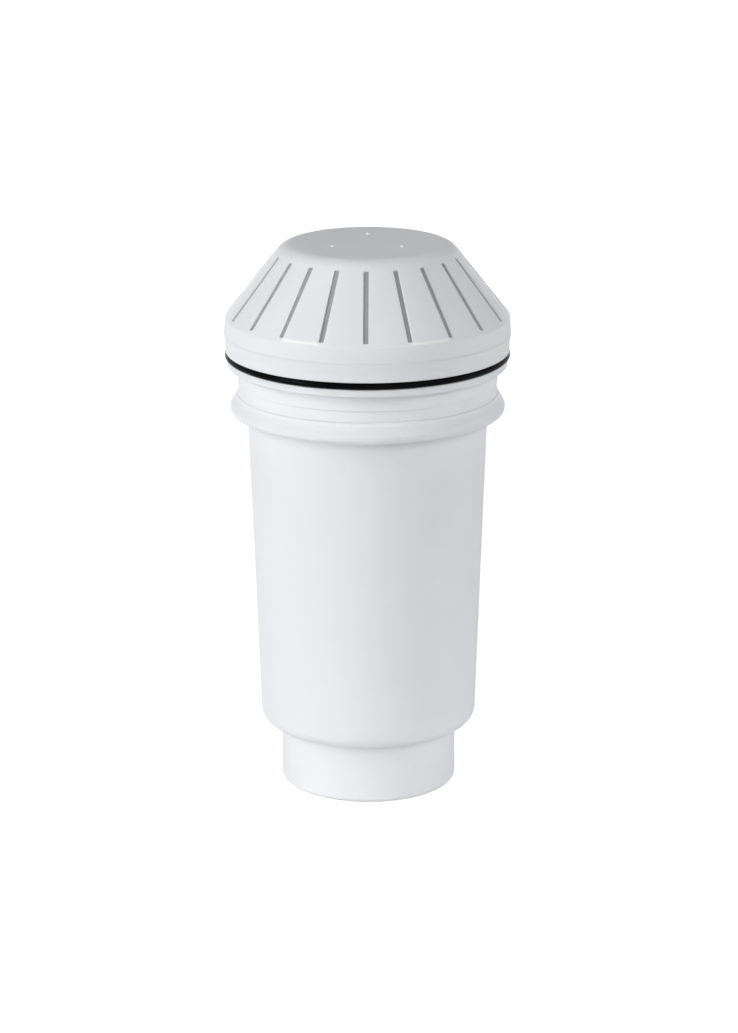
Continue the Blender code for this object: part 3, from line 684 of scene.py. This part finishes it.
def shade_between(
    material, source, output, low, high, shader, socket="Base Color", stops=(0.3, 0.7),
):
    """Runs a texture through a ramp between two colours, or two greys for a plain value."""
    ramp = add_node(material, "ShaderNodeValToRGB")
    for element, stop, value in zip(ramp.color_ramp.elements, stops, (low, high)):
        element.position = stop
        element.color = (*value, 1.0) if isinstance(value, tuple) else (value, value, value, 1.0)
    join(material, source, output, ramp, "Fac")
    join(material, ramp, "Color", shader, socket)
    return ramp


def bump(material, source, output, shader, distance):
    """Height from a texture into the shader's normal."""
    node = add_node(material, "ShaderNodeBump", Strength=1.0, Distance=distance)
    join(material, source, output, node, "Height")
    join(material, node, "Normal", shader, "Normal")


def paint_light(material, share, output, under, colour):
    """Paints light: mixes a lighter colour over another by a share from 0 to 1."""
    mix = add_node(material, "ShaderNodeMixRGB", Color2=(*colour, 1.0))
    join(material, share, output, mix, "Fac")
    join(material, under, "Color", mix, "Color1")
    return mix


def paint_light_band(material, under, rising, falling, colour):
    """Paints a band of light: mixes a lighter colour over another by height, its share growing
    between the two heights of rising and going again between the two of falling."""
    split = on_object(material, "ShaderNodeSeparateXYZ")
    share = add_node(material, "ShaderNodeMath", operation="MULTIPLY")
    for index, (none, whole) in enumerate((rising, reversed(falling))):
        ramp = add_node(
            material, "ShaderNodeMapRange", interpolation_type="SMOOTHSTEP",
            From_Min=none, From_Max=whole,
        )
        join(material, split, "Z", ramp, "Value")
        join(material, ramp, "Result", share, index)
    return paint_light(material, share, "Value", under, colour)


def white_moulding():
    """Satin white moulded plastic that lets a little light through, with a faint skin texture. Its
    colour has painted light: a painted glow low on the neck, and painted highlights on the flange's
    shoulder and on the raised panels' lower edges."""
    material, shader = start_material("white_plastic", (0.85, 0.86, 0.89), 0.38)
    shader.inputs["Subsurface Weight"].default_value = 0.25
    shader.inputs["Subsurface Radius"].default_value = (1.0, 0.95, 0.9)
    shader.inputs["Subsurface Scale"].default_value = 1.0 * MM
    shader.inputs["Specular IOR Level"].default_value = 0.08
    cloud = noise(material, 60.0, 3.0)
    plain = shade_between(material, cloud, "Fac", *PLASTIC_SHADES, shader)
    # Painted light: the neck is lighter low down, where light bounces onto it from the flange
    neck = paint_light_band(material, plain, NECK_PAINTED_LIGHT_FROM, NECK_PAINTED_LIGHT_TO, NECK_PAINTED_LIGHT)
    # Painted highlight along the flange's shoulder
    flange = paint_light_band(material, neck, FLANGE_PAINTED_HIGHLIGHT_FROM, FLANGE_PAINTED_HIGHLIGHT_TO, FLANGE_PAINTED_HIGHLIGHT)
    # Painted highlight on the raised panels' bevelled lower edges
    mark = add_node(material, "ShaderNodeAttribute", attribute_name="panel_edge_highlight")
    edges = paint_light(material, mark, "Fac", flange, PANEL_EDGE_PAINTED_HIGHLIGHT)
    join(material, edges, "Color", shader, "Base Color")
    skin = noise(material, 900.0, 2.0)
    shade_between(material, skin, "Fac", 0.46, 0.53, shader, "Roughness")
    bump(material, skin, "Fac", shader, 0.004 * MM)
    return material


def black_rubber():
    """Smooth black rubber with a slight bloom."""
    material, shader = start_material("black_rubber", (0.002, 0.002, 0.002), 0.3)
    shader.inputs["Specular IOR Level"].default_value = 0.03
    bloom = noise(material, 400.0, 4.0)
    shade_between(
        material, bloom, "Fac", (0.0006, 0.0006, 0.0006), (0.0018, 0.0018, 0.0018), shader)
    bump(material, bloom, "Fac", shader, 0.01 * MM)
    return material


def screen_cloth():
    """Fine woven mesh: two sets of threads at right angles. Its dark grey is painted shade, well
    below its pale base colour, so that the cap's slots read as shaded.
    """
    material, shader = start_material("screen_cloth", (0.78, 0.79, 0.8), 0.7)
    weave = add_node(material, "ShaderNodeMath", operation="MAXIMUM")
    for index, direction in enumerate(("X", "Y")):
        threads = on_object(
            material, "ShaderNodeTexWave", Scale=800.0, bands_direction=direction)
        join(material, threads, "Fac", weave, index)
    # Painted shade: the threads are dark grey so that the slots in front of them read as shaded
    shade_between(
        material, weave, "Value", (0.27, 0.27, 0.268), (0.42, 0.42, 0.418), shader,
        stops=(0.3, 0.8),
    )
    bump(material, weave, "Value", shader, 0.08 * MM)
    return material


def fibre_felt():
    """White nonwoven fibre."""
    material, shader = start_material("nonwoven_felt", (0.8, 0.8, 0.78), 0.95)
    fibres = noise(material, 1200.0, 6.0, 0.7)
    fibres.inputs["Distortion"].default_value = 1.5
    shade_between(material, fibres, "Fac", (0.68, 0.68, 0.66), (0.86, 0.86, 0.84), shader)
    bump(material, fibres, "Fac", shader, 0.12 * MM)
    return material


def grained(name, colour, roughness, scale, near, far, depth):
    """A material of packed grains: colour and height follow the distance to a grain's middle."""
    material, shader = start_material(name, colour, roughness)
    grains = on_object(material, "ShaderNodeTexVoronoi", Scale=scale)
    shade_between(material, grains, "Distance", near, far, shader)
    bump(material, grains, "Distance", shader, depth)
    return material


def pressed_carbon():
    """Black carbon granules pressed into a block."""
    return grained(
        "pressed_carbon", (0.02, 0.02, 0.022), 0.9, 1400.0,
        (0.03, 0.03, 0.032), (0.008, 0.008, 0.009), 0.15 * MM,
    )


def open_foam():
    """Open-cell foam."""
    return grained(
        "open_foam", (0.75, 0.75, 0.72), 0.95, 1100.0,
        (0.4, 0.4, 0.38), (0.82, 0.82, 0.79), 0.3 * MM,
    )


def resin_beads():
    """Amber resin beads about half a millimetre across."""
    return grained(
        "softening_resin", (0.62, 0.38, 0.16), 0.4, 1900.0,
        (0.72, 0.46, 0.2), (0.28, 0.15, 0.05), 0.25 * MM,
    )


def dress_inside(white, rubber, cloth):
    """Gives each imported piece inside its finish."""
    finishes = {
        pressed_carbon(): ["carbon_block"],
        fibre_felt(): ["block_wrap", "upper_felt", "lower_felt"],
        open_foam(): ["foam_pad"],
        resin_beads(): ["resin_bed"],
        cloth: ["inlet_screen", "outlet_screen"],
        white: ["screen_frame", "top_end_cap", "bottom_end_cap"],
        rubber: ["seat_gasket"],
    }
    for material, names in finishes.items():
        for name in names:
            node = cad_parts[name]
            node.data.materials.clear()
            node.data.materials.append(material)


def seen_share(owner):
    """A node whose value is 1 where the camera sees something, straight or in a gloss or through
    glass, and otherwise 0."""
    path = add_node(owner, "ShaderNodeLightPath")
    glossy = add_node(owner, "ShaderNodeMath", operation="MAXIMUM")
    join(owner, path, "Is Camera Ray", glossy, 0)
    join(owner, path, "Is Glossy Ray", glossy, 1)
    seen = add_node(owner, "ShaderNodeMath", operation="MAXIMUM")
    join(owner, glossy, "Value", seen, 0)
    join(owner, path, "Is Transmission Ray", seen, 1)
    return seen


def make_floor():
    """A plain white floor that keeps the object's shadow: matt paint, plus a plain glow that only
    the camera and reflections see, so that the unshaded floor reads as white."""
    mesh = bpy.data.meshes.new("studio_floor")
    signs = ((-1, -1), (1, -1), (1, 1), (-1, 1))
    corners = [(x * FLOOR_REACH, y * FLOOR_REACH, FLOOR_LEVEL) for x, y in signs]
    mesh.from_pydata(corners, [], [(0, 1, 2, 3)])
    material = bpy.data.materials.new("studio_floor")
    material.use_nodes = True
    material.node_tree.nodes.clear()
    distance = on_object(material, "ShaderNodeVectorMath", operation="LENGTH")
    growth = add_node(
        material, "ShaderNodeMapRange", interpolation_type="SMOOTHSTEP",
        From_Min=GLOW_FROM, From_Max=GLOW_TO, To_Min=GLOW_LOW, To_Max=1.0,
    )
    join(material, distance, "Value", growth, "Value")
    strength = add_node(material, "ShaderNodeMath", operation="MULTIPLY")
    join(material, seen_share(material), "Value", strength, 0)
    join(material, growth, "Result", strength, 1)
    paint = add_node(
        material, "ShaderNodeBsdfDiffuse", Color=(FLOOR_PAINT, FLOOR_PAINT, FLOOR_PAINT, 1.0))
    glow = add_node(material, "ShaderNodeEmission")
    join(material, strength, "Value", glow, "Strength")
    both = add_node(material, "ShaderNodeAddShader")
    join(material, paint, "BSDF", both, 0)
    join(material, glow, "Emission", both, 1)
    output = add_node(material, "ShaderNodeOutputMaterial")
    join(material, both, "Shader", output, "Surface")
    mesh.materials.append(material)
    floor = bpy.data.objects.new("studio_floor", mesh)
    bpy.context.scene.collection.objects.link(floor)


def light_world():
    """Plain white where the camera sees past the floor, and no light on the object."""
    world = bpy.data.worlds.new("studio")
    bpy.context.scene.world = world
    world.use_nodes = True
    world.node_tree.nodes.clear()
    background = add_node(world, "ShaderNodeBackground")
    join(world, seen_share(world), "Value", background, "Strength")
    output = add_node(world, "ShaderNodeOutputWorld")
    join(world, background, "Background", output, "Surface")


def soft_box(name, azimuth, elevation, width, height, power, aim=MIDDLE_HEIGHT, spread=180):
    """A rectangular lamp that faces the cartridge's axis at the height aim. A spread under 180
    degrees stands for a grid on its front, which keeps its light near that direction."""
    lamp = bpy.data.lights.new(name, "AREA")
    lamp.shape = "RECTANGLE"
    lamp.size = width
    lamp.size_y = height
    lamp.energy = power
    lamp.spread = math.radians(spread)
    box = bpy.data.objects.new(name, lamp)
    bpy.context.scene.collection.objects.link(box)
    turn, rise = math.radians(azimuth), math.radians(elevation)
    away = Vector((
        math.sin(turn) * math.cos(rise), -math.cos(turn) * math.cos(rise), math.sin(rise)))
    box.location = Vector((0, 0, MIDDLE_HEIGHT)) + away * LAMP_DISTANCE
    box.rotation_mode = "QUATERNION"
    box.rotation_quaternion = (box.location - Vector((0, 0, aim))).to_track_quat("Z", "Y")


def place_lamps():
    """The soft boxes round the cartridge, and the lamps that light the table."""
    for name, azimuth, elevation, width, height, power in SOFT_BOXES:
        soft_box(name, azimuth, elevation, width, height, power)
    for name, azimuth, power in TABLE_LAMPS:
        soft_box(
            name, azimuth, TABLE_ELEVATION, TABLE_LAMP_SIZE, TABLE_LAMP_SIZE, power,
            TABLE_AIM, TABLE_SPREAD,
        )


def place_camera():
    """The photograph's view: 0.96 m from the cartridge, looking 16 degrees down with a long lens."""
    azimuth = math.radians(0.7)
    distance, height = 0.9004, 0.3283
    pitch, roll = math.radians(16.137), math.radians(0.14)
    aside = math.radians(0.0165)
    data = bpy.data.cameras.new("camera")
    data.lens = 131.58
    data.sensor_width = 36.0
    data.clip_start = 0.01
    data.clip_end = 50.0
    camera = bpy.data.objects.new("camera", data)
    bpy.context.scene.collection.objects.link(camera)
    place = Matrix.Translation(
        (distance * math.sin(azimuth), -distance * math.cos(azimuth), height))
    turn = Matrix.Rotation(azimuth - aside, 4, "Z")
    down = Matrix.Rotation(math.pi / 2 - pitch, 4, "X")
    tilt = Matrix.Rotation(-roll, 4, "Z")
    camera.matrix_world = place @ turn @ down @ tilt
    bpy.context.scene.camera = camera


def main():
    place_camera()
    white, rubber, cloth = white_moulding(), black_rubber(), screen_cloth()
    add_piece("housing_moulding", housing_surface(), white, ["housing"])
    cap = add_piece("cap_moulding", cap_surface(), white, ["cap"])
    # Marks where the raised panels' lower edges get their painted highlight
    mark_panel_edge_highlights(cap)
    add_piece("sealing_ring", ring_surface(), rubber, ["o_ring"])
    add_piece("cap_lining_mesh", lining_surface(), cloth, ["cap_lining"])
    dress_inside(white, rubber, cloth)
    make_floor()
    light_world()
    place_lamps()
    bpy.context.scene.view_settings.view_transform = "Standard"


main()
